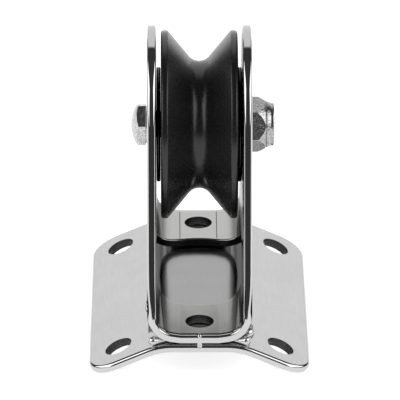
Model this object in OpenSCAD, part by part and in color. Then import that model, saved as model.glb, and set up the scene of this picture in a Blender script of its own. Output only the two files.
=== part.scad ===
// Bow roller: a V-grooved roller on a bolt between the arms of a bent U-shaped bracket,
// welded on a crowned base plate with two sloping wings.
// Millimetres. X runs along the bolt, Y along the keel, Z up. The origin is under the
// middle of the part, on the level of the wing tips.

/* [Channel bracket] */
// Outside width over the two arms
channel_w = 37.4; // [37:0.1:40]
// Thickness of both bent sheets
sheet_t = 3.2; // [3:0.1:3.4]
// Length of the channel's floor, front to back
floor_l = 106; // [100:1:116]
// Width of the flat strip along the middle of the floor
floor_flat_w = 14; // [12:0.5:15]
// Rise of the floor beside the flat strip
facet_angle = 9; // [6:0.5:12]
// Outer radius of the bends between floor and arms
bend_r = 10; // [9:0.5:11]
// Height at which the ends begin to slope to the arms, over the floor's underside
arm_foot_h = 8.5; // [6:0.5:10]
// Radius of the rounded arm tops
arm_head_r = 33.5; // [32:0.5:36]
// Height of the arm top's centre over the bolt
arm_head_lift = 2.9; // [1:0.1:4]
// Height of the bolt over the floor
axle_h = 59; // [56:1:66]
// Radius of the round window in the unbent floor
window_r = 27.5; // [20:0.5:30]
// Height on the arms to which the window reaches, over the floor's underside
window_rise = 16; // [13:0.5:17]

/* [Base plate] */
// Overall width
plate_w = 79.8; // [70:0.2:90]
// Length, front to back
plate_l = 106.4; // [104:0.2:116]
// Width of the flat crown
crown_w = 19.2; // [16:0.2:24]
// Inner radius of the bends beside the crown
crown_r = 21; // [15:1:25]
// Downward slope of the wings
wing_angle = 24; // [15:1:28]
// Corner radius of the plate
corner_r = 9.5; // [6:0.5:12]
// Gap between the plate and the channel's floor
seat_gap = 0.4; // [0.2:0.1:1]

/* [Fastening holes] */
// Diameter of the mounting holes
hole_d = 10; // [8:0.5:11]
// Spacing of the holes, front to back
hole_pitch = 82.5; // [76:0.5:86]
// Distance of the wing holes from the centreline
wing_hole_x = 29.2; // [27:0.2:31]

/* [Roller] */
// Diameter over the rims
roller_d = 68; // [64:1:69]
// Width over the rims
roller_w = 27.6; // [25:0.1:27.6]
// Diameter at the bottom of the groove
root_d = 46; // [42:1:50]
// Angle between the two sides of the groove
groove_angle = 80; // [70:1:90]
// Radius at the bottom of the groove
groove_round = 4.7; // [3:0.1:5]
// Chamfer on the outer rim edges
rim_chamfer = 0.8; // [0.4:0.1:1]
// Radial play of the roller and washers on the bolt
running_play = 0.09; // [0.03:0.01:0.1]
// Diameter of the thrust washers
washer_d = 41.5; // [30:0.5:44]
// Thickness of the thrust washers
washer_t = 1.4; // [1:0.1:1.4]

/* [Bolt and nut] */
// Bolt diameter
bolt_d = 9.52; // [8:0.01:9.52]
// Bolt length under the head
bolt_l = 44.5; // [43:0.5:45]
// Bolt head across flats
head_af = 14.3; // [13:0.1:16]
// Bolt head height
head_h = 5.9; // [5:0.1:6.5]
// Rise of the domed top of the head
head_dome = 1.9; // [1:0.1:2.2]
// Nut across flats
nut_af = 17.5; // [16:0.1:19]
// Overall height of the nut
nut_h = 8.4; // [8:0.1:10]
// Height at which the nut's cone meets its collar
nut_cone_h = 7.2; // [5:0.1:7.2]
// Diameter of the collar round the nylon insert
collar_d = 15.6; // [15:0.1:16]
// Turn of both hexagons about the bolt
hex_turn = 18; // [0:1:29]

/* [Hidden] */
$fn = 96;
eps = 0.01;
over = 1;
steel = [0.78, 0.78, 0.78];
weld_grey = [0.6, 0.6, 0.61];
black = [0.1, 0.1, 0.1];
natural = [0.88, 0.87, 0.82];

// base plate
crown_half = crown_w / 2;
wing_len = (plate_w / 2 - crown_half - sheet_t / 2
            - (crown_r + sheet_t / 2) * sin(wing_angle)) / cos(wing_angle);
plate_z = crown_r - (crown_r + sheet_t / 2) * cos(wing_angle)
          + wing_len * sin(wing_angle) + sheet_t / 2;
bend_steps = 10;
edge_steps = 8;
wing_hole_run = (wing_hole_x - crown_half - (crown_r + sheet_t) * sin(wing_angle))
                / cos(wing_angle);

// channel bracket
channel_z = plate_z + sheet_t + seat_gap;
floor_z = channel_z + sheet_t;
axle_z = floor_z + axle_h;
bend_x = channel_w / 2 - bend_r;
bend_z = bend_r / cos(facet_angle) + (bend_x - floor_flat_w / 2) * tan(facet_angle);

// window: a round cut in the floor, out to the middle of each bend, where a cut through the
// arms takes over that runs through the same edge points
window_half_x = bend_x + (bend_r - sheet_t / 2) * sin(45);
window_edge_y = sqrt(pow(window_r, 2) - pow(window_half_x, 2));
window_edge_z = bend_z - (bend_r - sheet_t / 2) * cos(45);
window_side_h = window_rise - window_edge_z;
window_side_r = (pow(window_edge_y, 2) + pow(window_side_h, 2)) / (2 * window_side_h);

// arm outline: two straight edges that run tangent into the round top
head_z = axle_z + arm_head_lift;
arm_foot_z = channel_z + arm_foot_h;
foot_reach = norm([floor_l / 2, head_z - arm_foot_z]);
tangent_turn = acos(arm_head_r / foot_reach) - atan2(head_z - arm_foot_z, floor_l / 2);

// stack along the bolt
arm_in = channel_w / 2 - sheet_t;
stack_play = (arm_in - roller_w / 2 - washer_t) / 2;
washer_x = roller_w / 2 + stack_play;
axle_bore_d = bolt_d + 2 * running_play;
arm_hole_d = 10;

// bolt head: washer face under the hexagon
head_face_d = 13.4;
head_face_h = 0.5;

// nut: chamfer round its seat, and the nylon ring under its rolled lip
seat_chamfer_r = 0.6;
seat_chamfer_h = 0.4;
cone_start_h = 2.4;
corner_trim = 0.2;
collar_round = 0.5;
thread_gap = 0.03;
insert_d = 13;
insert_h = 2.3;
insert_grip = 0.1;
lip_d = 11;
lip_t = 0.5;

// upright tack in the middle of each end, with its rise over the floor's top
bead_r = 1.5;
bead_out = -0.9;
front_bead_rise = 0.6;
rear_bead_rise = -1.6;

// tapered tack in each wedge at the ends: radius at the toe under the bend and at the broad
// outer end, each with its place outward from the bend's middle, in from the floor's end and
// up from the plate's crown
tack_toe_r = 0.8;
tack_toe = [3, 3, 0.6];
tack_end_r = 1.9;
tack_end = [7.8, 2, 0.8];

// short bead under the side of each arm
side_bead_r = 2.6;
side_bead_l = 3;
side_bead_out = 1;
side_bead_lift = 1.2;
side_bead_left_y = -24;
side_bead_right_y = -44;

// The channel's cross-section, filled, with its bend radius r, the half width flat_x of its
// bottom strip and that strip's height z
module channel_fill(r, flat_x, z) {
    for (side = [0, 1]) mirror([side, 0]) {
        polygon([[-eps, z], [flat_x, z],
                 [bend_x + r * sin(facet_angle), bend_z - r * cos(facet_angle)],
                 [bend_x, bend_z], [-eps, bend_z]]);
        translate([bend_x, bend_z]) circle(r);
        translate([-eps, bend_z]) square([bend_x + r + eps, head_z + arm_head_r]);
    }
}

module channel_section() {
    inner_flat_x = floor_flat_w / 2 - sheet_t * tan(facet_angle / 2);
    difference() {
        channel_fill(bend_r, floor_flat_w / 2, 0);
        channel_fill(bend_r - sheet_t, inner_flat_x, sheet_t);
    }
}

module arm_outline() {
    tangent_y = arm_head_r * cos(tangent_turn);
    tangent_z = head_z + arm_head_r * sin(tangent_turn);
    translate([0, head_z]) circle(arm_head_r);
    polygon([[-floor_l / 2, channel_z - over], [floor_l / 2, channel_z - over],
             [floor_l / 2, arm_foot_z], [tangent_y, tangent_z],
             [-tangent_y, tangent_z], [-floor_l / 2, arm_foot_z]]);
}

// The round floor window, which after bending also reaches a little up both arms
module window_cut() {
    intersection() {
        translate([0, 0, -over]) cylinder(r = window_r, h = bend_z);
        translate([-window_half_x, -window_r, -2 * over])
            cube([2 * window_half_x, 2 * window_r, bend_z + 2 * over]);
    }
    translate([-channel_w / 2 - over, 0, window_rise - window_side_r])
        rotate([0, 90, 0]) cylinder(r = window_side_r, h = channel_w + 2 * over);
}

module floor_holes(z0) {
    for (end = [-1, 1])
        translate([0, end * hole_pitch / 2, z0 - over])
            cylinder(d = hole_d, h = sheet_t + 2 * over);
}

module u_bracket() {
    color(steel) difference() {
        intersection() {
            translate([0, floor_l / 2, channel_z]) rotate([90, 0, 0])
                linear_extrude(floor_l) channel_section();
            translate([-channel_w / 2 - over, 0, 0]) rotate([90, 0, 90])
                linear_extrude(channel_w + 2 * over) arm_outline();
        }
        translate([0, 0, channel_z]) window_cut();
        floor_holes(channel_z);
        translate([-channel_w / 2 - over, 0, axle_z]) rotate([0, 90, 0])
            cylinder(d = arm_hole_d, h = channel_w + 2 * over);
    }
}

// Points along one surface of the plate's right half, from the crown to the wing's end, for
// a surface that bends with the radius r
function plate_surface(r) = concat(
    [for (i = [0 : bend_steps]) let (a = wing_angle * i / bend_steps)
        [crown_half + r * sin(a), r * cos(a) - crown_r]],
    [[crown_half + r * sin(wing_angle) + wing_len * cos(wing_angle),
      r * cos(wing_angle) - crown_r - wing_len * sin(wing_angle)]]);

// The round edge at the end of the right wing, from its top to its underside
function wing_edge() = let (r = crown_r + sheet_t / 2)
    [for (i = [1 : edge_steps - 1]) let (a = 90 - wing_angle - 180 * i / edge_steps)
        [crown_half + r * sin(wing_angle) + wing_len * cos(wing_angle) + sheet_t / 2 * cos(a),
         r * cos(wing_angle) - crown_r - wing_len * sin(wing_angle) + sheet_t / 2 * sin(a)]];

function mirrored(points) = [for (i = [len(points) - 1 : -1 : 0]) [-points[i][0], points[i][1]]];

module plate_section() {
    right = concat(plate_surface(crown_r + sheet_t), wing_edge(),
                   [for (i = [bend_steps + 1 : -1 : 0]) plate_surface(crown_r)[i]]);
    polygon(concat(right, mirrored(right)));
}

module plate_outline() {
    in_x = plate_w / 2 - corner_r;
    in_y = plate_l / 2 - corner_r;
    square([plate_w, 2 * in_y], center = true);
    square([2 * in_x, plate_l], center = true);
    for (sx = [-1, 1], sy = [-1, 1])
        translate([sx * in_x, sy * in_y]) circle(corner_r);
}

module wing_hole() {
    translate([crown_half, 0, plate_z - crown_r]) rotate([0, wing_angle, 0])
        translate([wing_hole_run, 0, crown_r - 3 * over])
        cylinder(d = hole_d, h = sheet_t + 6 * over);
}

module base_plate() {
    color(steel) difference() {
        intersection() {
            translate([0, plate_l / 2, plate_z]) rotate([90, 0, 0])
                linear_extrude(plate_l) plate_section();
            translate([0, 0, -over])
                linear_extrude(plate_z + sheet_t + 2 * over) plate_outline();
        }
        floor_holes(plate_z);
        for (side = [0, 1], end = [-1, 1])
            mirror([side, 0, 0]) translate([0, end * hole_pitch / 2, 0]) wing_hole();
    }
}

// Half of the roller's section, radius along X and the bolt's axis along Y
module roller_section() {
    r = roller_d / 2;
    half = roller_w / 2;
    lean = groove_angle / 2;
    round_r = root_d / 2 + groove_round;
    side_r = round_r - groove_round * sin(lean);
    side_y = groove_round * cos(lean);
    mouth = side_y + (r + over - side_r) * tan(lean);
    difference() {
        polygon([[axle_bore_d / 2, -half], [r - rim_chamfer, -half], [r, rim_chamfer - half],
                 [r, half - rim_chamfer], [r - rim_chamfer, half], [axle_bore_d / 2, half]]);
        translate([round_r, 0]) circle(groove_round);
        polygon([[side_r, -side_y], [r + over, -mouth], [r + over, mouth], [side_r, side_y]]);
    }
}

module roller() {
    color(black) translate([0, 0, axle_z]) rotate([0, 90, 0])
        rotate_extrude() roller_section();
}

module thrust_washer() {
    difference() {
        cylinder(d = washer_d, h = washer_t);
        translate([0, 0, -over]) cylinder(d = axle_bore_d, h = washer_t + 2 * over);
    }
}

module washer_left() {
    color(black) translate([-washer_x - washer_t, 0, axle_z]) rotate([0, 90, 0])
        thrust_washer();
}

module washer_right() {
    color(black) translate([washer_x, 0, axle_z]) rotate([0, 90, 0]) thrust_washer();
}

// Bolt along +Z, underside of the head at z = 0
module bolt_shape() {
    dome_r = (pow(head_af / 2, 2) + pow(head_dome, 2)) / (2 * head_dome);
    cylinder(d = bolt_d, h = bolt_l);
    translate([0, 0, -head_face_h]) cylinder(d = head_face_d, h = head_face_h);
    intersection() {
        translate([0, 0, -head_h]) rotate(30 - hex_turn)
            cylinder(d = head_af / cos(30), h = head_h - head_face_h, $fn = 6);
        translate([0, 0, dome_r - head_h]) sphere(dome_r);
    }
}

module axle_bolt() {
    color(steel) translate([-channel_w / 2, 0, axle_z]) rotate([0, 90, 0]) bolt_shape();
}

// Section of the nut, radius along X and its axis along Y, with the seat at y = 0. The
// cone from the corners to the collar cuts the hexagon's flats to round-topped facets.
module nut_section() {
    outer_r = nut_af / cos(30) / 2 - corner_trim;
    collar_r = collar_d / 2;
    bore_r = bolt_d / 2 + thread_gap;
    lip_y = nut_h - lip_t;
    polygon([[bore_r, 0], [outer_r - seat_chamfer_r, 0], [outer_r, seat_chamfer_h],
             [outer_r, cone_start_h], [collar_r, nut_cone_h], [collar_r, nut_h - collar_round],
             [collar_r - collar_round, nut_h], [lip_d / 2, nut_h], [lip_d / 2, lip_y],
             [insert_d / 2, lip_y], [insert_d / 2, lip_y - insert_h],
             [bore_r, lip_y - insert_h]]);
}

module lock_nut() {
    color(steel) translate([channel_w / 2, 0, axle_z]) rotate([0, 90, 0]) intersection() {
        rotate_extrude() nut_section();
        rotate(-hex_turn) cylinder(d = nut_af / cos(30), h = nut_h, $fn = 6);
    }
}

module nut_insert() {
    color(natural)
        translate([channel_w / 2 + nut_h - lip_t - insert_h, 0, axle_z])
        rotate([0, 90, 0]) difference() {
            cylinder(d = insert_d, h = insert_h);
            translate([0, 0, -over])
                cylinder(d = bolt_d - 2 * insert_grip, h = insert_h + 2 * over);
        }
}

// Upright tack over the edges of floor and plate, in the middle of one end
module centre_weld(rise) {
    top = sheet_t + rise;
    translate([0, -floor_l / 2 - bead_out, channel_z - sheet_t / 2]) {
        cylinder(r = bead_r, h = top, $fn = 32);
        sphere(bead_r, $fn = 32);
        translate([0, 0, top]) sphere(bead_r, $fn = 32);
    }
}

// Tack in the wedge between one lower bend and the plate, at one end
module corner_weld() {
    translate([bend_x, -floor_l / 2, plate_z + sheet_t]) hull() {
        translate(tack_toe) sphere(tack_toe_r, $fn = 24);
        translate(tack_end) sphere(tack_end_r, $fn = 24);
    }
}

// Short bead under the side of one arm's bend, with its middle at y
module side_weld(y) {
    translate([channel_w / 2 - side_bead_r + side_bead_out, y - side_bead_l / 2,
               plate_z + sheet_t + side_bead_lift])
        rotate([-90, 0, 0]) {
            cylinder(r = side_bead_r, h = side_bead_l, $fn = 32);
            sphere(side_bead_r, $fn = 32);
            translate([0, 0, side_bead_l]) sphere(side_bead_r, $fn = 32);
        }
}

module weld_front_centre() { color(weld_grey) centre_weld(front_bead_rise); }
module weld_rear_centre() {
    color(weld_grey) mirror([0, 1, 0]) centre_weld(rear_bead_rise);
}
module weld_front_right() { color(weld_grey) corner_weld(); }
module weld_front_left() { color(weld_grey) mirror([1, 0, 0]) corner_weld(); }
module weld_rear_right() { color(weld_grey) mirror([0, 1, 0]) corner_weld(); }
module weld_rear_left() { color(weld_grey) mirror([1, 0, 0]) mirror([0, 1, 0]) corner_weld(); }
module weld_side_left() { color(weld_grey) mirror([1, 0, 0]) side_weld(side_bead_left_y); }
module weld_side_right() { color(weld_grey) side_weld(side_bead_right_y); }

u_bracket();
base_plate();
roller();
washer_left();
washer_right();
axle_bolt();
lock_nut();
nut_insert();
weld_front_centre();
weld_front_left();
weld_front_right();
weld_rear_centre();
weld_rear_left();
weld_rear_right();
weld_side_left();
weld_side_right();
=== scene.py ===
"""Bow roller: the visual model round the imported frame, with its studio.

Lengths are millimetres in the frame's own axes, and become metres where a mesh is made. X runs
along the bolt towards the nut, Y to the rear, Z up. A material's noise scales are in cells per
metre and its bumps in metres.
"""

import math

import bmesh
import bpy
from mathutils import Matrix, Vector, noise
from mathutils.geometry import delaunay_2d_cdt


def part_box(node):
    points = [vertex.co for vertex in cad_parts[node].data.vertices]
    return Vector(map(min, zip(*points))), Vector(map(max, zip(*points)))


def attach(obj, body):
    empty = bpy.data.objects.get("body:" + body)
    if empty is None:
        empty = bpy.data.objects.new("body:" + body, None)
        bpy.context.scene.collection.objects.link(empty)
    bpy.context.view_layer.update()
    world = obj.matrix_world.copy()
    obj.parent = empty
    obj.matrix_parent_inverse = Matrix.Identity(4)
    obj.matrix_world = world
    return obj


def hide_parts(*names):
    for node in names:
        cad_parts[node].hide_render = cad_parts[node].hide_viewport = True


MM = 0.001
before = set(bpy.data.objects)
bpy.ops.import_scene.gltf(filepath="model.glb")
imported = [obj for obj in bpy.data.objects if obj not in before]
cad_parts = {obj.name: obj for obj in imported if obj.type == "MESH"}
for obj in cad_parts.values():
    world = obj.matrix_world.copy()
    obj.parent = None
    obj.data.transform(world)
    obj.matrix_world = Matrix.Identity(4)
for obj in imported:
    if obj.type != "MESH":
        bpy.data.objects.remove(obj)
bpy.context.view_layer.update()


def box_mm(node):
    """Lowest and highest corner of a CAD node, in millimetres."""
    return [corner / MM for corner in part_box(node)]


_, plate_hi = box_mm("base_plate")
bracket_lo, bracket_hi = box_mm("u_bracket")
roller_lo, roller_hi = box_mm("roller")
bolt_lo, bolt_hi = box_mm("axle_bolt")
_, nut_hi = box_mm("lock_nut")

SHEET = 3.2
AXLE_Z = (roller_lo.z + roller_hi.z) / 2
HOLE_R = 5.0
HOLE_EDGE_R = 0.25
HOLE_Y = 41.25

# bracket section, from the centreline outward
FLAT_HALF = 6.874
FOLD_RUN = 0.4
FACET_RISE = 9
FACET_LEN = 3.18
BEND_MID_R = 8.4
ARM_LEN = 120

# bracket outline
ARM_HEAD_R = 33.5
ARM_EDGE_STEPS = 12
FOOT_BLEND_R = 9.0
FOOT_DROP = 2.0
FOOT_SWEEP_R = 100.0
FOOT_SWEEP_TURN = 5.0
WINDOW_R = 27.5
WINDOW_EDGE_R = 0.5

# plate section and outline
CROWN_HALF = 9.6
CROWN_MID_R = 22.6
WING_FALL = 24
WING_LEN = 21.354
WING_SPARE = 5
WING_HOLE_RUN = 10.68
PLATE_CORNER_R = 9.9
TIP_TRIM = 0.3
PLATE_EDGE_STEP = 5.0
END_CLEAR = 0.3


# ---------------------------------------------------------------- pieces

def new_object(name, data):
    """An object in the scene with this mesh or camera."""
    made = bpy.data.objects.new(name, data)
    bpy.context.scene.collection.objects.link(made)
    return made


def make_piece(name, body, slot, materials, replaces, verts, faces, normals=None, zones=None):
    """A smooth closed mesh from millimetre points that stands for one or more CAD nodes.

    zones gives each face's place in materials; without it all faces take the first.
    """
    mesh = bpy.data.meshes.new(name)
    mesh.from_pydata([Vector(v) * MM for v in verts], [], faces)
    if zones:
        mesh.polygons.foreach_set("material_index", zones)
    shell = bmesh.new()
    shell.from_mesh(mesh)
    bmesh.ops.recalc_face_normals(shell, faces=shell.faces)
    shell.to_mesh(mesh)
    shell.free()
    mesh.shade_smooth()
    if normals:
        mesh.normals_split_custom_set_from_vertices([Vector(n).normalized() for n in normals])
    for material in materials:
        mesh.materials.append(material)
    piece = new_object(name, mesh)
    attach(piece, body)
    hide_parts(*replaces)


# ---------------------------------------------------------------- bent sheets

BEND_STEP = 4.5


class BentSheet:
    """A sheet bent across X and Z, the same on both sides of the centreline.

    stretches are (length, turn in degrees) along the middle of the thickness, from the
    centreline outward; a turn upward is positive.
    """

    def __init__(self, centre_z, stretches):
        self.stretches = []
        x, z, slope, run = 0.0, centre_z, 0.0, 0.0
        for length, turn in stretches:
            turn = math.radians(turn)
            self.stretches.append((run, length, turn, x, z, slope))
            x, z, slope = self._along(length, length, turn, x, z, slope)
            run += length

    @staticmethod
    def _along(u, length, turn, x, z, slope):
        """Place and slope after going u along a stretch that starts at x, z with slope."""
        if not turn:
            return x + u * math.cos(slope), z + u * math.sin(slope), slope
        radius, end = length / turn, slope + turn * u / length
        return (x + radius * (math.sin(end) - math.sin(slope)),
                z + radius * (math.cos(slope) - math.cos(end)), end)

    def place(self, s, y, n, direction):
        """Point and direction on the bent sheet for run s, height n over its middle."""
        side = -1 if s < 0 else 1
        run, length, turn, x, z, slope = next(
            t for t in reversed(self.stretches) if t[0] <= abs(s))
        x, z, slope = self._along(abs(s) - run, length, turn, x, z, slope)
        across = (math.cos(slope), side * math.sin(slope))
        up = (-side * math.sin(slope), math.cos(slope))
        point = (side * x + n * up[0], y, z + n * up[1])
        ds, dy, dn = direction
        return point, (ds * across[0] + dn * up[0], dy, ds * across[1] + dn * up[1])

    def bend_lines(self, step=BEND_STEP):
        """Runs at which the mesh needs a line of points: through each bend, step degrees apart."""
        lines = []
        for run, length, turn, *_ in self.stretches:
            if turn:
                count = max(2, round(abs(math.degrees(turn)) / step))
                lines += [run + length * k / count for k in range(count + 1)]
        return [-s for s in reversed(lines)] + lines


EDGE_STEPS = 7
LEDGE_TILT = -7
LEDGE_START = 0.85


def edge_profile(top_r, bottom_r, lip_r=0.0, lip_turn=0, lip_run=0.0):
    """(inset, height, outward share, upward share) from the sheet's top face round its edge.

    With a lip, the edge first rolls over by lip_turn degrees with the radius lip_r, then has
    a ledge lip_run wide, tilted inward, before the main rounding.
    """
    top = SHEET / 2
    points = []
    tilt = math.radians(LEDGE_TILT) if lip_run else 0
    if lip_run:
        low = math.radians(90 - lip_turn)
        full = lip_r * math.cos(low) + lip_run + top_r
        turns = [math.pi / 2 - math.radians(lip_turn) * k / EDGE_STEPS
                 for k in range(EDGE_STEPS + 1)]
        points += [(full - lip_r * math.cos(a), top - lip_r * (1 - math.sin(a)), math.cos(a),
                    math.sin(a)) for a in turns]
        top -= lip_r * (1 - math.sin(low))
        points.append((top_r + lip_run * LEDGE_START, top, math.sin(tilt), math.cos(tilt)))
        top -= lip_run * math.tan(tilt)
    turns = [(math.pi / 2 - tilt) * (1 - k / EDGE_STEPS) for k in range(EDGE_STEPS + 1)]
    points += [(top_r * (1 - math.cos(a)), top - top_r * (1 - math.sin(a)), math.cos(a),
                math.sin(a)) for a in turns]
    turns = [math.pi / 2 * (1 - k / EDGE_STEPS) for k in range(EDGE_STEPS + 1)]
    bottom = SHEET / 2 - bottom_r
    points += [(bottom_r * (1 - math.cos(a)), -bottom - bottom_r * math.sin(a), math.cos(a),
                -math.sin(a)) for a in reversed(turns)]
    points.append((points[0][0], -SHEET / 2, 0, -1))
    return points


def blended(first, second, share):
    """A profile part of the way from the first one to the second."""
    return [tuple(p + (q - p) * share for p, q in zip(a, b)) for a, b in zip(first, second)]


def circle_loop(s, y, radius, count):
    """Edge points of a round hole, with normals that point into the hole."""
    turns = [2 * math.pi * k / count for k in range(count)]
    return [(s + radius * math.cos(a), y + radius * math.sin(a), -math.cos(a), -math.sin(a))
            for a in turns]


UPPER, LOWER, EDGE, WALL = range(4)
GRID_Y = 2.5
GRID_CLEAR = 0.6
RIM_NEAR = 1.5
HOLE_MIN_POINTS = 40
HOLE_POINTS_PER_MM = 5
# delaunay_2d_cdt: keep the triangles inside the outline, and join points closer than this
INSIDE_OUTLINE = 1
SAME_POINT = 1e-5


def bend_grid(bent, rim, holes):
    """Flat points along each bend line, clear of the outline and the holes."""
    y_max = max(y for _, y in rim)
    rows = [GRID_Y * k for k in range(-int(y_max / GRID_Y), int(y_max / GRID_Y) + 1)]
    points = []
    for s in bent.bend_lines():
        reach = min((abs(y) for a, y in rim if abs(a - s) < RIM_NEAR), default=0)
        points += [(s, y) for y in rows if abs(y) < reach - GRID_CLEAR and all(
            math.hypot(s - hs, y - hy) > r + edge_r + GRID_CLEAR
            for hs, hy, r, edge_r in holes)]
    return points


def flat_mesh(bent, loops, holes):
    """Points and triangles of the unbent sheet between its loops, and each loop's points."""
    points, edges, hole_of = [], [], {}
    for number, (loop, profiles) in enumerate(loops):
        first = len(points)
        if number:
            hole_of.update({first + k: number for k in range(len(loop))})
        points += [(s - ns * profile[0][0], y - ny * profile[0][0])
                   for (s, y, ns, ny), profile in zip(loop, profiles)]
        edges += [(first + k, first + (k + 1) % len(loop)) for k in range(len(loop))]
    points += bend_grid(bent, points[:len(loops[0][0])], holes)
    flat, _, faces, sources, _, _ = delaunay_2d_cdt(
        [Vector(p) for p in points], edges, [], INSIDE_OUTLINE, SAME_POINT)
    order = {source: k for k, group in enumerate(sources) for source in group}
    on_hole = {order[k]: number for k, number in hole_of.items()}
    # a triangle with all three corners on one hole fills that hole, so it is left out
    kept = [face for face in faces if len({on_hole.get(k, -k - 1) for k in face}) > 1]
    rims, first = [], 0
    for loop, _ in loops:
        rims.append([order[first + k] for k in range(len(loop))])
        first += len(loop)
    return flat, kept, rims


def bent_mesh(bent, outline, profile_at, holes):
    """Vertices, faces, normals and zones of a bent sheet with a convex outline and holes.

    profile_at gives the edge's profile for a run along the sheet. holes are (run, y, radius,
    edge radius). The zones are UPPER, LOWER, EDGE all round, and WALL inside the holes.
    """
    loops = [(outline, [profile_at(s) for s, _, _, _ in outline])]
    for s, y, r, edge_r in holes:
        loop = circle_loop(s, y, r, max(HOLE_MIN_POINTS, round(r * HOLE_POINTS_PER_MM)))
        loops.append((loop, [edge_profile(edge_r, edge_r)] * len(loop)))
    flat, triangles, rims = flat_mesh(bent, loops, holes)
    verts, normals, shell, zones = [], [], [], []

    def add(s, y, height, direction):
        point, normal = bent.place(s, y, height, direction)
        verts.append(point)
        normals.append(normal)

    half = len(flat)
    for height, up in ((SHEET / 2, 1), (-SHEET / 2, -1)):
        for p in flat:
            add(p.x, p.y, height, (0, 0, up))
    for a, b, c in triangles:
        shell += [(a, b, c), (half + c, half + b, half + a)]
        zones += [UPPER, LOWER]
    for number, ((loop, profiles), rim) in enumerate(zip(loops, rims)):
        count = len(loop)
        rings = [rim]
        for ring in range(1, len(profiles[0]) - 1):
            rings.append(list(range(len(verts), len(verts) + count)))
            for (s, y, ns, ny), profile in zip(loop, profiles):
                inset, height, out, up = profile[ring]
                add(s - ns * inset, y - ny * inset, height, (out * ns, out * ny, up))
        rings.append([half + k for k in rim])
        # painted shade: the walls, and most of the rim of each small hole, take the near-black
        # wall finish
        drilled = number and holes[number - 1][2] <= HOLE_R
        for ring, (upper, lower) in enumerate(zip(rings, rings[1:])):
            wall = number and (ring == EDGE_STEPS or drilled and ring > 1)
            for k in range(count):
                j = (k + 1) % count
                shell.append((upper[k], lower[k], lower[j], upper[j]))
                zones.append(WALL if wall else EDGE)
    used = sorted({k for face in shell for k in face})
    renumber = {k: i for i, k in enumerate(used)}
    return ([verts[k] for k in used], [tuple(renumber[k] for k in face) for face in shell],
            [normals[k] for k in used], zones)


# ---------------------------------------------------------------- outlines and turned shapes

ON_AXIS = 1e-6


def arc(cx, cy, radius, start, end, step):
    """Points and outward normals along an arc, turning from start to end in degrees."""
    count = max(1, math.ceil(abs(end - start) / step))
    turns = [math.radians(start + (end - start) * k / count) for k in range(count + 1)]
    return [(cx + radius * math.cos(a), cy + radius * math.sin(a), math.cos(a), math.sin(a))
            for a in turns]


def four_fold(quarter):
    """A closed loop from its first quarter, which runs from the +X side to the +Y side."""
    half = quarter + [(-s, y, -ns, ny) for s, y, ns, ny in reversed(quarter) if s > ON_AXIS]
    return half + [(s, -y, ns, -ny) for s, y, ns, ny in reversed(half) if abs(y) > ON_AXIS]


def end_line(bent, y, stop, step=BEND_STEP):
    """An outline's straight end, from run stop to the centreline, with points at bend lines."""
    runs = {0.0} | {s for s in bent.bend_lines(step) if 0 < s < stop}
    return [(s, y, 0, 1) for s in sorted(runs, reverse=True)]


def rounded(corners, steps=5, support=0.0):
    """Points and outward normals of an anticlockwise outline of (p, q, fillet) corners.

    support adds a point that far before and after each fillet, to keep the flats flat.
    """
    out = []
    count = len(corners)
    for k in range(count):
        before, here, after = (Vector(corners[(k + d) % count][:2]) for d in (-1, 0, 1))
        fillet = corners[k][2]
        a, b = (here - before).normalized(), (after - here).normalized()
        turn = math.atan2(a.x * b.y - a.y * b.x, a.dot(b))
        normal = Vector((a.y, -a.x))
        back = fillet * abs(math.tan(turn / 2))
        centre = here - a * back - normal * math.copysign(fillet, turn)
        if support:
            out.append((*(here - a * (back + support)), *normal))
        for i in range(steps + 1):
            direction = Matrix.Rotation(turn * i / steps, 2) @ normal
            out.append((*(centre + direction * math.copysign(fillet, turn)), *direction))
        if support:
            out.append((*(here + b * (back + support)), b.y, -b.x))
    return out


def revolved(profile, steps=144):
    """Vertices, faces and normals of a closed (x, radius) profile turned round the bolt."""
    verts, faces, normals = [], [], []
    for k in range(steps):
        a = 2 * math.pi * k / steps
        c, s = math.cos(a), math.sin(a)
        verts += [(x, -r * c, AXLE_Z + r * s) for x, r, _, _ in profile]
        normals += [(nx, -nr * c, nr * s) for _, _, nx, nr in profile]
    n = len(profile)
    for k in range(steps):
        j = (k + 1) % steps
        faces += [(k * n + i, k * n + (i + 1) % n, j * n + (i + 1) % n, j * n + i)
                  for i in range(n)]
    return verts, faces, normals


# ---------------------------------------------------------------- material nodes

NOISE_LOW, NOISE_HIGH = 0.3, 0.7


class NodeGraph:
    """A node tree, with a short call for each kind of node that the model uses."""

    def __init__(self, tree):
        self.nodes, self.links = tree.nodes, tree.links
        self.coords = self.nodes.new("ShaderNodeTexCoord").outputs

    def feed(self, socket, value):
        """Link a socket to another node's output, or set it to a plain value."""
        if isinstance(value, bpy.types.NodeSocket):
            self.links.new(value, socket)
        else:
            socket.default_value = value

    def math(self, operation, a, b=None):
        """A math node's result for one or two numbers or outputs."""
        node = self.nodes.new("ShaderNodeMath")
        node.operation = operation
        self.feed(node.inputs[0], a)
        if b is not None:
            self.feed(node.inputs[1], b)
        return node.outputs["Value"]

    def spread(self, value, start, end, low=0.0, high=1.0, curve="LINEAR"):
        """The value between start and end, spread over low to high and held outside them."""
        node = self.nodes.new("ShaderNodeMapRange")
        node.interpolation_type = curve
        for socket, number in (("Value", value), ("From Min", start), ("From Max", end),
                               ("To Min", low), ("To Max", high)):
            self.feed(node.inputs[socket], number)
        return node.outputs["Result"]

    def split(self, vector):
        """The X, Y and Z of a vector."""
        node = self.nodes.new("ShaderNodeSeparateXYZ")
        self.links.new(vector, node.inputs["Vector"])
        return [node.outputs[axis] for axis in "XYZ"]

    def joined(self, x, y):
        """A vector of two outputs."""
        node = self.nodes.new("ShaderNodeCombineXYZ")
        self.links.new(x, node.inputs["X"])
        self.links.new(y, node.inputs["Y"])
        return node.outputs["Vector"]


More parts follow.
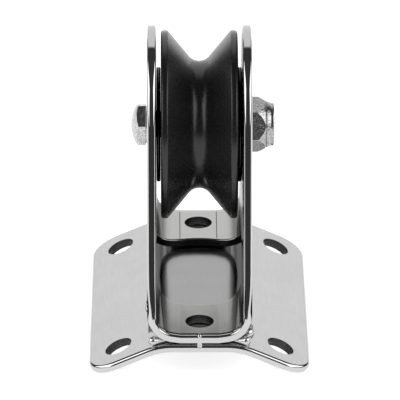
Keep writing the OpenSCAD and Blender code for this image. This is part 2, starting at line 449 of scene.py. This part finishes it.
class Finish(NodeGraph):
    """A new material: its shader's inputs, with noise, tone, gloss and bump for them."""

    def __init__(self, name, metallic=0):
        self.material = bpy.data.materials.new(name)
        self.material.use_nodes = True
        super().__init__(self.material.node_tree)
        self.shader = self.nodes["Principled BSDF"].inputs
        self.shader["Metallic"].default_value = metallic

    def noise(self, scale, stretch=(1, 1, 1), detail=3, at=None):
        """Noise in the object's own coordinates, or at a vector."""
        mapping = self.nodes.new("ShaderNodeMapping")
        mapping.inputs["Scale"].default_value = stretch
        self.links.new(at or self.coords["Object"], mapping.inputs["Vector"])
        texture = self.nodes.new("ShaderNodeTexNoise")
        texture.inputs["Scale"].default_value = scale
        texture.inputs["Detail"].default_value = detail
        self.links.new(mapping.outputs["Vector"], texture.inputs["Vector"])
        return texture.outputs["Fac"]

    def tone(self, factor, dark, light):
        """Base colour that goes from dark to light, and on past them, with the factor."""
        mix = self.nodes.new("ShaderNodeMix")
        mix.data_type = "RGBA"
        mix.clamp_factor = False
        mix.inputs["A"].default_value = (*dark, 1)
        mix.inputs["B"].default_value = (*light, 1)
        self.links.new(factor, mix.inputs["Factor"])
        self.links.new(mix.outputs["Result"], self.shader["Base Color"])

    def shade(self, factor, colour, dark, light):
        """Base colour between two shares of one colour."""
        self.tone(factor, [c * dark for c in colour], [c * light for c in colour])

    def varied(self, value, middle, low, high):
        """Noise spread between two shares of a middle value."""
        return self.spread(value, NOISE_LOW, NOISE_HIGH, middle * low, middle * high)

    def gloss(self, value, rough, low, high):
        """Roughness between two shares of rough."""
        self.links.new(self.varied(value, rough, low, high), self.shader["Roughness"])

    def bump(self, height, distance):
        """Relief of that height in metres."""
        node = self.nodes.new("ShaderNodeBump")
        node.inputs["Strength"].default_value = 1
        node.inputs["Distance"].default_value = distance
        self.links.new(height, node.inputs["Height"])
        self.links.new(node.outputs["Normal"], self.shader["Normal"])


# ---------------------------------------------------------------- finishes

def polished_steel(name, colour, rough, waviness=0.00002):
    """Buffed stainless: faint cloudiness in tone and gloss, fine haze lines, slight waves."""
    finish = Finish(name, metallic=1)
    finish.shade(finish.noise(scale=60), colour, 0.97, 1.03)
    finish.gloss(finish.noise(scale=900, stretch=(1, 0.06, 1)), rough, 0.7, 1.4)
    finish.bump(finish.noise(scale=110, detail=1), waviness)
    return finish.material


# painted shade: between these distances from the centreline the tone is darkened, beside the
# bracket's bends and arms where shade falls
SHADE_BAND_FROM = 12.5
SHADE_BAND_TO = 18.4
SHADE_BAND_FADE = 1
SHADE_BAND_CUT = 0.1
# painted shade: a thin dark line along each fold beside the floor's flat strip, towards the rear
CREASE_HALF = 0.17
CREASE_CORE = 0.6
CREASE_SHADE_LOSS = 0.85
CREASE_FROM = 20
CREASE_FULL = 22
BUFF_FADE = 1.5


def mill_steel(name, colour, rough, polish_from, polished, middle, shade_loss, reach, crease_shade=False,
               specular=1.0):
    """Rolled stainless: an even satin with fine grain along the sheet, buffed further out.

    polish_from is in millimetres from the centreline; polished is the roughness beyond it, and
    middle the share of the tone that the unbuffed strip has. The loss share is painted shade:
    that much of the tone is taken off in a band beside the bracket's bends and arms, where shade
    falls, up to reach millimetres from the middle. With creases, thin lines of painted shade
    darken the folds beside the floor's flat strip, behind the window.
    specular is the brightness of the gloss at grazing angles.
    """
    finish = Finish(name, metallic=1)
    combine = finish.math
    cloud = finish.noise(scale=90, detail=4)
    grain = finish.noise(scale=2600, stretch=(1, 0.05, 1))
    mottle = combine("ADD", combine("MULTIPLY", cloud, 0.5), combine("MULTIPLY", grain, 0.5))
    across, along, _ = finish.split(finish.coords["Object"])
    out = combine("ABSOLUTE", across)

    def fade(value, start, end, low=0, high=1):
        return finish.spread(value, start * MM, end * MM, low, high)

    # painted shade: darker tone in the band beside the bends, fading out past reach along the
    # sheet
    painted_shade = combine("MULTIPLY", fade(out, SHADE_BAND_FROM - SHADE_BAND_FADE, SHADE_BAND_FROM + SHADE_BAND_FADE),
                     fade(out, SHADE_BAND_TO - SHADE_BAND_CUT, SHADE_BAND_TO + SHADE_BAND_CUT, 1, 0))
    painted_shade = combine("MULTIPLY", painted_shade, fade(combine("ABSOLUTE", along), reach - SHADE_BAND_FADE,
                                              reach + SHADE_BAND_FADE, 1, 0))
    # painted shade along the folds, joined to the band's
    if crease_shade:
        off = combine("ABSOLUTE", combine("SUBTRACT", out, FLAT_HALF * MM))
        line = combine("MULTIPLY", fade(off, CREASE_HALF * CREASE_CORE, CREASE_HALF, 1, 0),
                       fade(along, CREASE_FROM, CREASE_FULL))
        painted_shade = combine("MAXIMUM", painted_shade, combine("MULTIPLY", line, CREASE_SHADE_LOSS / shade_loss))
    level = combine("MULTIPLY", finish.varied(mottle, 1, 0.94, 1.06),
                    fade(out, polish_from - BUFF_FADE, polish_from, middle, 1))
    level = combine("MULTIPLY", level, combine("SUBTRACT", 1.0,
                                               combine("MULTIPLY", painted_shade, shade_loss)))
    finish.shade(level, colour, 0, 1)
    blend = finish.nodes.new("ShaderNodeMix")
    finish.feed(blend.inputs["Factor"], fade(out, polish_from - BUFF_FADE, polish_from))
    finish.feed(blend.inputs["A"], finish.varied(mottle, rough, 0.85, 1.15))
    finish.feed(blend.inputs["B"], finish.varied(mottle, polished, 0.7, 1.3))
    finish.links.new(blend.outputs["Result"], finish.shader["Roughness"])
    finish.shader["Specular Tint"].default_value = (specular, specular, specular, 1)
    finish.bump(mottle, 0.000004)
    return finish.material


def forged_steel(name, colour, rough):
    """Plain stainless of a bolt or nut: mottled in small dents, with a slightly uneven gloss."""
    finish = Finish(name, metallic=1)
    dents = finish.noise(scale=1800)
    finish.shade(finish.spread(dents, 0.38, 0.62), colour, 0.68, 1.2)
    finish.gloss(dents, rough, 0.8, 1.3)
    finish.bump(dents, 0.00011)
    return finish.material


def black_plastic(name, colour, rough):
    """Turned satin plastic: fine rings round the bolt's axis and a soft uneven gloss."""
    finish = Finish(name)
    cloud = finish.noise(scale=700)
    finish.shade(cloud, colour, 0.8, 1.25)
    finish.gloss(cloud, rough, 0.95, 1.06)
    x, y, z = finish.split(finish.coords["Object"])
    radius = finish.nodes.new("ShaderNodeVectorMath")
    radius.operation = "LENGTH"
    finish.links.new(finish.joined(y, finish.math("SUBTRACT", z, AXLE_Z * MM)),
                     radius.inputs[0])
    rings = finish.noise(scale=3500, detail=2, at=finish.joined(x, radius.outputs["Value"]))
    finish.bump(rings, 0.000006)
    return finish.material


def nylon(name):
    """Natural nylon: slightly milky, with light mottling from the mould."""
    finish = Finish(name)
    cloud = finish.noise(scale=400)
    finish.tone(cloud, (0.74, 0.73, 0.68), (0.84, 0.83, 0.79))
    finish.links.new(finish.spread(cloud, NOISE_LOW, NOISE_HIGH, 0.38, 0.5),
                     finish.shader["Roughness"])
    finish.bump(cloud, 0.00002)
    return finish.material


STEEL_TONE = (0.60, 0.60, 0.60)
MILL_TONE = (0.60, 0.60, 0.586)
bracket_steel = polished_steel("bracket_steel", STEEL_TONE, 0.08)
edge_steel = polished_steel("edge_steel", (0.55, 0.55, 0.55), 0.05, waviness=0.000008)
# painted shade: hole walls are coloured nearly black, for the shade inside the holes
hole_shade_steel = polished_steel("hole_shade_steel", (0.06, 0.06, 0.062), 0.35)
# inner_steel and plate_steel take painted shade in the band beside the bends; inner_steel along
# its folds too
inner_steel = mill_steel("inner_steel", MILL_TONE, rough=0.4, polish_from=12.5, polished=0.16,
                         middle=1.25, shade_loss=0.45, reach=60, crease_shade=True, specular=0.35)
plate_steel = mill_steel("plate_steel", STEEL_TONE, rough=0.2, polish_from=14.5, polished=0.09,
                         middle=0.63, shade_loss=0.88, reach=40)
bolt_steel = forged_steel("bolt_steel", (0.54, 0.54, 0.545), 0.2)
nut_steel = forged_steel("nut_steel", (0.43, 0.43, 0.435), 0.2)
weld_steel = polished_steel("weld_steel", (0.55, 0.55, 0.56), 0.2, waviness=0.0001)
roller_black = black_plastic("roller_black", (0.0095, 0.0095, 0.01), 0.27)
washer_black = black_plastic("washer_black", (0.009, 0.009, 0.0095), 0.25)

# ---------------------------------------------------------------- bracket

bracket_bent = BentSheet(bracket_lo.z + SHEET / 2, [
    (FLAT_HALF - FOLD_RUN / 2, 0), (FOLD_RUN, FACET_RISE), (FACET_LEN - FOLD_RUN / 2, 0),
    (BEND_MID_R * math.radians(90 - FACET_RISE), 90 - FACET_RISE), (ARM_LEN, 0)])
arm_run = bracket_bent.stretches[-1][0]
arm_foot_z = bracket_bent.stretches[-1][4]
head_run = arm_run + bracket_hi.z - ARM_HEAD_R - arm_foot_z
foot_y = bracket_hi.y


def bracket_outline():
    """Outline of the unbent bracket: straight floor ends, sloping arm edges, round heads.

    Each sloping edge meets the floor's end in a long sweep and then a short blend, whose
    centres follow from both being tangent to the slope and to the end.
    """
    foot_run = arm_run - FOOT_DROP
    reach = math.hypot(foot_y, head_run - foot_run)
    lean = math.degrees(math.acos(ARM_HEAD_R / reach)
                        - math.atan2(head_run - foot_run, foot_y))
    head = arc(head_run, 0, ARM_HEAD_R, 0, 90 - lean, step=2)
    slope, turn = math.radians(90 - lean), math.radians(FOOT_SWEEP_TURN)
    line = foot_run * math.cos(slope) + foot_y * math.sin(slope)
    gain = FOOT_SWEEP_R - FOOT_BLEND_R
    floor_run = (line - FOOT_SWEEP_R + gain * math.cos(turn)
                 - (foot_y - FOOT_BLEND_R) * math.sin(slope)) / math.cos(slope)
    meet = 90 - lean + FOOT_SWEEP_TURN
    blend = arc(floor_run, foot_y - FOOT_BLEND_R, FOOT_BLEND_R, meet, 90, step=2)
    sweep = arc(floor_run - gain * math.cos(math.radians(meet)),
                foot_y - FOOT_BLEND_R - gain * math.sin(math.radians(meet)),
                FOOT_SWEEP_R, 90 - lean, meet, step=0.5)
    _, _, ns, ny = head[-1]
    start, end = Vector(head[-1][:2]), Vector(sweep[0][:2])
    edge = [(*start.lerp(end, k / ARM_EDGE_STEPS), ns, ny) for k in range(1, ARM_EDGE_STEPS)]
    return four_fold(head + edge + sweep + blend[1:]
                     + end_line(bracket_bent, foot_y, floor_run - END_CLEAR))


def floor_holes():
    """The two holes that bracket and plate share."""
    return [(0, end * HOLE_Y, HOLE_R, HOLE_EDGE_R) for end in (-1, 1)]


bracket_holes = floor_holes() + [(0, 0, WINDOW_R, WINDOW_EDGE_R)]
bracket_holes += [(side * (arm_run + AXLE_Z - arm_foot_z), 0, HOLE_R, HOLE_EDGE_R)
                  for side in (-1, 1)]
lip_edge = edge_profile(top_r=0.8, bottom_r=0.7, lip_r=1.3, lip_turn=35, lip_run=0.8)
foot_edge = edge_profile(top_r=0.5, bottom_r=2.2, lip_r=0.25, lip_turn=30, lip_run=0.08)
arm_edge = edge_profile(top_r=1.15, bottom_r=1.2, lip_r=0.25, lip_turn=30, lip_run=0.08)
head_edge = edge_profile(top_r=0.55, bottom_r=0.6, lip_r=0.15, lip_turn=30, lip_run=0.05)
# the run where each profile begins to take over from the one before, and the length it takes
bracket_edges = [(arm_run - 6, 7, foot_edge), (arm_run + 3, 9, arm_edge),
                 (head_run + 25, 7, head_edge)]


def bracket_edge(s):
    """The lip's profile along the floor's ends, then the foot's, the arms' and the heads'."""
    profile = lip_edge
    for start, length, following in bracket_edges:
        share = min(max((abs(s) - start) / length, 0), 1)
        profile = blended(profile, following, share)
    return profile


make_piece("bracket_sheet", "bracket", "polished_stainless",
           [inner_steel, bracket_steel, edge_steel, hole_shade_steel], ["u_bracket"],
           *bent_mesh(bracket_bent, bracket_outline(), bracket_edge, bracket_holes))

# ---------------------------------------------------------------- base plate

plate_bent = BentSheet(plate_hi.z - SHEET / 2, [
    (CROWN_HALF, 0), (CROWN_MID_R * math.radians(WING_FALL), -WING_FALL),
    (WING_LEN + WING_SPARE, 0)])
wing_run = plate_bent.stretches[-1][0]
tip_run = wing_run + WING_LEN + SHEET / 2 - TIP_TRIM


def plate_outline():
    """Outline of the unbent plate: a rectangle with round corners."""
    corner_run, corner_y = tip_run - PLATE_CORNER_R, plate_hi.y - PLATE_CORNER_R
    side = [(tip_run, PLATE_EDGE_STEP * k, 1, 0)
            for k in range(math.ceil(corner_y / PLATE_EDGE_STEP))]
    return four_fold(side + arc(corner_run, corner_y, PLATE_CORNER_R, 0, 90, step=4)
                     + end_line(plate_bent, plate_hi.y, corner_run - END_CLEAR, step=3))


plate_holes = floor_holes()
plate_holes += [(side * (wing_run + WING_HOLE_RUN), end * HOLE_Y, HOLE_R, HOLE_EDGE_R)
                for side in (-1, 1) for end in (-1, 1)]
plate_edge = edge_profile(top_r=1.4, bottom_r=1.1)
make_piece("plate_sheet", "bracket", "polished_stainless",
           [plate_steel, plate_steel, edge_steel, hole_shade_steel], ["base_plate"],
           *bent_mesh(plate_bent, plate_outline(), lambda s: plate_edge, plate_holes))

# ---------------------------------------------------------------- roller and washers

GROOVE_LEAN = math.radians(40)
GROOVE_ROUND = 4.7
ROOT_R = 23.0
BORE_R = 4.85


def roller_profile():
    """Outline of the roller's half section, as (x, radius): bore, flanks, rims, V groove."""
    rim_r, half_w = roller_hi.z - AXLE_Z, roller_hi.x
    apex_r = ROOT_R + GROOVE_ROUND - GROOVE_ROUND / math.sin(GROOVE_LEAN)
    mouth = (rim_r - apex_r) * math.tan(GROOVE_LEAN)
    return rounded([
        (-half_w, BORE_R, 0.4), (half_w, BORE_R, 0.4), (half_w, rim_r, 1.0),
        (mouth, rim_r, 0.8), (0, apex_r, GROOVE_ROUND), (-mouth, rim_r, 0.8),
        (-half_w, rim_r, 1.0)], steps=8)


def washer_profile(lo, hi):
    """Outline of a washer's half section, as (x, radius)."""
    rim_r = hi.z - AXLE_Z
    return rounded([(lo.x, BORE_R, 0.2), (hi.x, BORE_R, 0.2), (hi.x, rim_r, 0.6),
                    (lo.x, rim_r, 0.6)], steps=6)


make_piece("groove_roller", "roller", "roller_black", [roller_black], ["roller"],
           *revolved(roller_profile(), steps=192))
for side in ("left", "right"):
    make_piece("thrust_washer_" + side, side + "_washer", "washer_black", [washer_black],
               ["washer_" + side], *revolved(washer_profile(*box_mm("washer_" + side))))

# ---------------------------------------------------------------- bolt and nut

HEX_TURN = 18
HEX_FILLET = 0.35
HEX_STEP = 3
HEX_CORNER_STEPS = [-1.6, -0.9, -0.4, 0, 0.4, 0.9, 1.6]


def hex_angles(turn):
    """Angles round a hexagon with its first corner at turn: close together at the corners."""
    flat = [HEX_STEP * k for k in range(1, 30 // HEX_STEP)]
    offsets = [-30] + [-offset for offset in reversed(flat)] + HEX_CORNER_STEPS + flat
    return [math.radians(turn + 60 * corner + offset) for corner in range(6)
            for offset in offsets]


def hex_radius(a, turn, across):
    """Distance from the axis to a hexagon with slightly rounded corners."""
    flat = across / 2
    off = (math.degrees(a) - turn + 30) % 60 - 30
    off = math.radians(abs(off))
    centre = (flat - HEX_FILLET) / math.cos(math.pi / 6)
    on_corner = centre * math.sin(off) < HEX_FILLET * math.sin(math.pi / 6 - off)
    if on_corner:
        return centre * math.cos(off) + math.sqrt(HEX_FILLET**2 - (centre * math.sin(off))**2)
    return flat / math.cos(math.pi / 6 - off)


def turned(angles, profile_at, closed):
    """A mesh of one (x, radius) profile per angle round the bolt, with poles unless closed."""
    rows = [profile_at(a) for a in angles]
    n, steps = len(rows[0]), len(rows)
    verts = [(x, -r * math.cos(a), AXLE_Z + r * math.sin(a))
             for a, row in zip(angles, rows) for x, r in row]
    faces = []
    for k in range(steps):
        j = (k + 1) % steps
        for i in range(n if closed else n - 1):
            i2 = (i + 1) % n
            faces.append((k * n + i, k * n + i2, j * n + i2, j * n + i))
    if not closed:
        for i in (0, n - 1):
            pole = len(verts)
            verts.append((rows[0][i][0], 0, AXLE_Z))
            for k in range(steps):
                j = (k + 1) % steps
                faces.append((pole, j * n + i, k * n + i) if i else (k * n + i, j * n + i, pole))
    return verts, faces


def sampled(corners, steps=3, support=0.12, skip_ends=True):
    """Points of an outline of (p, q, fillet) corners, with support points by the fillets.

    skip_ends leaves out the first and last corner, which then only give the directions.
    """
    points = [(p, q) for p, q, _, _ in rounded(corners, steps, support)]
    per_corner = steps + 3
    return points[per_corner:-per_corner] if skip_ends else points


seat_l = -bracket_hi.x
head_top = bolt_lo.x
HEAD_AF = 14.3
HEAD_FACE_R = 6.7
HEAD_FACE_H = 0.5
HEAD_DOME = 1.9
DOME_ROWS = 8
BOLT_R = 4.76
SHANK_START = 5
THREAD_PITCH = 1.5875
THREAD_DEPTH = 0.75
THREAD_LEN = 14.0
THREAD_ROWS = 10
THREAD_RUNOUT = 3
THREAD_CHAMFER = 1.2
dome_r = ((HEAD_AF / 2)**2 + HEAD_DOME**2) / (2 * HEAD_DOME)


def bolt_profile(a):
    """From the middle of the domed top round the head, down the shank to the thread's end."""
    side = hex_radius(a, HEX_TURN, HEAD_AF)
    radii = [side * k / DOME_ROWS for k in range(1, DOME_ROWS + 1)]
    dome = [(head_top + dome_r - math.sqrt(dome_r**2 - r**2), r) for r in radii]
    points = dome[:-1] + sampled([
        (*dome[-3], 0.1), (*dome[-1], 0.35), (seat_l - HEAD_FACE_H, side, 0.15),
        (seat_l - HEAD_FACE_H, HEAD_FACE_R, 0.05), (seat_l, HEAD_FACE_R, 0.1),
        (seat_l, BOLT_R, 0.1), (seat_l + SHANK_START, BOLT_R, 0.1)])
    start = bolt_hi.x - THREAD_LEN
    count = round(THREAD_LEN / THREAD_PITCH * THREAD_ROWS)
    for k in range(count + 1):
        x = start + THREAD_LEN * k / count
        wave = abs(((x / THREAD_PITCH + a / (2 * math.pi)) % 1) * 2 - 1)
        fade = min(1, (x - start) / THREAD_RUNOUT)
        chamfer = max(0, x - (bolt_hi.x - THREAD_CHAMFER))
        points.append((x, min(BOLT_R - THREAD_DEPTH * fade * wave, BOLT_R - chamfer)))
    return points


make_piece("hex_bolt", "bracket", "fastener_steel", [bolt_steel], ["axle_bolt"],
           *turned(hex_angles(HEX_TURN), bolt_profile, closed=False))

NUT_AF = 17.5
NUT_TURN = HEX_TURN + 30
NUT_CORNER_R = NUT_AF / math.cos(math.pi / 6) / 2
NUT_BORE_R = BOLT_R + 0.03
SEAT_CHAMFER = 0.5
SEAT_CHAMFER_H = 0.35
CONE_START = 2.4
CONE_END = 7.2
COLLAR_R = 7.8
LIP_R = 5.5
LIP_T = 0.5
INSERT_R = 6.5
INSERT_H = 2.3
NECK_X = 5.5
NECK_DEPTH = 0.35
NECK_BEFORE = 0.25
NECK_AFTER = 0.3
NECK_CLEAR = 0.5
seat_r = bracket_hi.x


def cone_r(x):
    """Radius of the nut's cone at a height over its seat."""
    return NUT_CORNER_R - (x - CONE_START) * (NUT_CORNER_R - COLLAR_R) / (CONE_END - CONE_START)


def nut_profile(a):
    """Round one cut through the nut: bore, insert groove, lip, collar, neck, cone and flat."""
    side = hex_radius(a, NUT_TURN, NUT_AF)
    cone_x = CONE_START + ((NUT_CORNER_R - side) / (NUT_CORNER_R - COLLAR_R)
                           * (CONE_END - CONE_START))
    top = nut_hi.x - seat_r
    under_lip = top - LIP_T
    corners = [(0, NUT_BORE_R, 0.2), (under_lip - INSERT_H, NUT_BORE_R, 0.1),
               (under_lip - INSERT_H, INSERT_R, 0.05), (under_lip, INSERT_R, 0.05),
               (under_lip, LIP_R, 0.1), (top, LIP_R, 0.15), (top, COLLAR_R, 0.5),
               (CONE_END, COLLAR_R, 0.3), (NECK_X + NECK_AFTER, cone_r(NECK_X + NECK_AFTER), 0.1),
               (NECK_X, cone_r(NECK_X) - NECK_DEPTH, 0.12),
               (NECK_X - NECK_BEFORE, cone_r(NECK_X - NECK_BEFORE), 0.1),
               (max(min(cone_x, NECK_X - NECK_CLEAR), CONE_START), side, 0.2),
               (SEAT_CHAMFER_H, side, 0.1), (0, side - SEAT_CHAMFER, 0.1)]
    return [(seat_r + x, r) for x, r in sampled(corners, support=0.1, skip_ends=False)]


make_piece("collar_nut", "bracket", "fastener_steel", [nut_steel], ["lock_nut"],
           *turned(hex_angles(NUT_TURN), nut_profile, closed=True))

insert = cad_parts["nut_insert"]
insert.data.materials.clear()
insert.data.materials.append(nylon("natural_nylon"))

# ---------------------------------------------------------------- weld beads

# a weld is a tapered capsule: radii at its two ends, in the space of its CAD solid
CENTRE_BEAD_R = 1.4
CENTRE_TIP_R = 1.0
CENTRE_WAIST = 0.12
TOE_R = 0.8
TOE_DROP = 0.2
CORNER_R = 1.9
SIDE_BEAD_R = 2.6
BEAD_COLUMNS = 32
BEAD_CAP_ROWS = 8
BEAD_BODY_ROWS = 14
LUMP = 0.07
LUMP_SCALE = 0.45
LUMP_SHIFT = 7
RIPPLE = 0.035
RIPPLE_PITCH = 0.9


def bead_ends(node):
    """The two end points and end radii of a weld, from its CAD box."""
    lo, hi = box_mm(node)
    middle = (lo + hi) / 2
    if node.endswith("centre"):
        return (Vector((*middle.xy, lo.z + CENTRE_BEAD_R)),
                Vector((*middle.xy, hi.z - CENTRE_TIP_R)), CENTRE_BEAD_R, CENTRE_TIP_R)
    if node.startswith("weld_side"):
        return (Vector((middle.x, lo.y + SIDE_BEAD_R, middle.z)),
                Vector((middle.x, hi.y - SIDE_BEAD_R, middle.z)), SIDE_BEAD_R, SIDE_BEAD_R)
    sx = math.copysign(1, middle.x)
    sy = math.copysign(1, middle.y)
    near, far = (lo, hi) if sx > 0 else (hi, lo)
    inner, outer = (lo, hi) if sy > 0 else (hi, lo)
    toe = Vector((near.x + sx * TOE_R, inner.y + sy * TOE_R, lo.z + CORNER_R - TOE_DROP))
    end = Vector((far.x - sx * CORNER_R, outer.y - sy * CORNER_R, hi.z - CORNER_R))
    return toe, end, TOE_R, CORNER_R


def bead_stations(length, start_r, end_r, waist):
    """(run, radius) pairs along a capsule that tapers and is drawn in by waist in its middle."""
    turns = [math.pi / 2 * k / BEAD_CAP_ROWS for k in range(1, BEAD_CAP_ROWS)]
    stations = [(-start_r * math.cos(a), start_r * math.sin(a)) for a in turns]
    for k in range(BEAD_BODY_ROWS + 1):
        share = k / BEAD_BODY_ROWS
        narrow = 1 - waist * math.sin(math.pi * share)
        stations.append((length * share, (start_r + (end_r - start_r) * share) * narrow))
    return stations + [(length + end_r * math.sin(a), end_r * math.cos(a)) for a in turns]


def weld_bead(node, seed):
    """A lumpy, rippled tapered capsule between the two ends of a weld."""
    start, end, start_r, end_r = bead_ends(node)
    axis = (end - start).normalized()
    across = axis.orthogonal().normalized()
    up = axis.cross(across)
    waist = CENTRE_WAIST if node.endswith("centre") else 0
    stations = bead_stations((end - start).length, start_r, end_r, waist)
    shift = Vector((seed * LUMP_SHIFT, 0, 0))
    verts = []
    for run, r in stations:
        wave = math.cos(2 * math.pi * run / RIPPLE_PITCH)
        for k in range(BEAD_COLUMNS):
            a = 2 * math.pi * k / BEAD_COLUMNS
            out = across * math.cos(a) + up * math.sin(a)
            lump = noise.noise((start + axis * run + out * r) * LUMP_SCALE + shift) - 1
            verts.append(start + axis * run + out * r * (1 + LUMP * lump + RIPPLE * wave))
    south, north = len(verts), len(verts) + 1
    verts += [start - axis * start_r, end + axis * end_r]
    last = (len(stations) - 1) * BEAD_COLUMNS
    faces = []
    for k in range(BEAD_COLUMNS):
        m = (k + 1) % BEAD_COLUMNS
        for row in range(0, last, BEAD_COLUMNS):
            after = row + BEAD_COLUMNS
            faces.append((row + k, row + m, after + m, after + k))
        faces.append((south, m, k))
        faces.append((north, last + k, last + m))
    make_piece(node.replace("weld_", "bead_"), "bracket", "weld_metal", [weld_steel], [node],
               verts, faces)


weld_nodes = sorted(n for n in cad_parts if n.startswith("weld_"))
for seed, node in enumerate(weld_nodes):
    weld_bead(node, seed)

# ---------------------------------------------------------------- studio

FLOOR_HALF = 30.0
FLOOR_GAP = 0.0002


def studio_floor():
    """A wide pale floor just under the object, with a little light of its own."""
    corners = [(x * FLOOR_HALF, y * FLOOR_HALF, -FLOOR_GAP)
               for x, y in ((-1, -1), (1, -1), (1, 1), (-1, 1))]
    mesh = bpy.data.meshes.new("floor")
    mesh.from_pydata(corners, [], [(0, 1, 2, 3)])
    floor = new_object("floor", mesh)
    paint = Finish("floor_paint")
    for socket, value in (("Base Color", (0.8, 0.8, 0.8, 1)), ("Roughness", 0.9),
                          ("Specular IOR Level", 0.1), ("Emission Color", (1, 1, 1, 1)),
                          ("Emission Strength", 0.7)):
        paint.shader[socket].default_value = value
    mesh.materials.append(paint.material)


SWEEP_LIGHT = 0.95
BOX_LIGHT = 2.2
ROOM_LIGHT = 0.052
# the sweep's limits, as a rise and as a turn from straight behind: fully dark, fully lit
SWEEP_TOP = math.radians(62), math.radians(56)
SWEEP_SIDE = math.radians(36), math.radians(28)
# a soft box's edges on an upright plane beside the object, a unit away: fully dark, fully lit;
# its top edge falls to the rear
BOX_FRONT = -1.4, -1.3
BOX_REAR = 0.6, 0.5
BOX_BOTTOM = 0.2, 0.28
BOX_TOP = 1.22, 1.1
BOX_TOP_FALL = 0.83
NOT_ZERO = 0.001


def studio_world():
    """A dark room with a lit sweep behind the object and a soft box high on each side."""
    world = bpy.data.worlds.new("studio")
    bpy.context.scene.world = world
    world.use_nodes = True
    sky = NodeGraph(world.node_tree)
    combine = sky.math

    def lit(value, dark, full):
        """A smooth step from 0 at dark to 1 at full."""
        if dark < full:
            return sky.spread(value, dark, full, curve="SMOOTHSTEP")
        return sky.spread(value, full, dark, 1.0, 0.0, curve="SMOOTHSTEP")

    x, y, z = sky.split(sky.coords["Generated"])
    x = combine("MAXIMUM", combine("ABSOLUTE", x), NOT_ZERO)
    rise, aside = combine("ARCTAN2", z, y), combine("ARCTAN2", x, y)
    behind = combine("MULTIPLY", lit(rise, *SWEEP_TOP), lit(aside, *SWEEP_SIDE))
    u, v = combine("DIVIDE", y, x), combine("DIVIDE", z, x)
    upper = combine("ADD", v, combine("MULTIPLY", u, BOX_TOP_FALL))
    soft_box = combine("MULTIPLY", lit(u, *BOX_FRONT), lit(u, *BOX_REAR))
    soft_box = combine("MULTIPLY", soft_box, lit(v, *BOX_BOTTOM))
    soft_box = combine("MULTIPLY", soft_box, lit(upper, *BOX_TOP))
    total = combine("MAXIMUM", combine("MULTIPLY", behind, SWEEP_LIGHT),
                    combine("MULTIPLY", soft_box, BOX_LIGHT))
    background = sky.nodes["Background"].inputs
    sky.links.new(combine("MAXIMUM", total, ROOM_LIGHT), background["Strength"])
    background["Color"].default_value = (1, 1, 1, 1)


studio_floor()
studio_world()

# ---------------------------------------------------------------- camera

CAM_ELEVATION = 25.177
CAM_YAW = 0.404
CAM_ROLL = 0.107
CAM_DISTANCE = 1621.0
CAM_LENS = 397.16
CAM_SENSOR = 36
CAM_CLIP = 0.05, 100
AIM_RIGHT = 0.38
AIM_UP = 25.98


def photo_camera():
    """A long lens in front of the object, a little above it, aimed over the bracket's floor."""
    e, a = math.radians(CAM_ELEVATION), math.radians(CAM_YAW)
    ahead = Vector((math.cos(e) * math.sin(a), math.cos(e) * math.cos(a), -math.sin(e)))
    right = Vector((math.cos(a), -math.sin(a), 0))
    up = right.cross(ahead)
    target = Vector((0, 0, bracket_lo.z + SHEET)) + right * AIM_RIGHT + up * AIM_UP
    data = bpy.data.cameras.new("camera")
    data.lens = CAM_LENS
    data.sensor_width = CAM_SENSOR
    data.clip_start, data.clip_end = CAM_CLIP
    camera = new_object("camera", data)
    camera.location = (target - ahead * CAM_DISTANCE) * MM
    turn = Matrix((right, up, -ahead)).transposed()
    camera.rotation_euler = (turn @ Matrix.Rotation(math.radians(CAM_ROLL), 3, "Z")).to_euler()
    bpy.context.scene.camera = camera


photo_camera()
bpy.context.scene.view_settings.view_transform = "Standard"
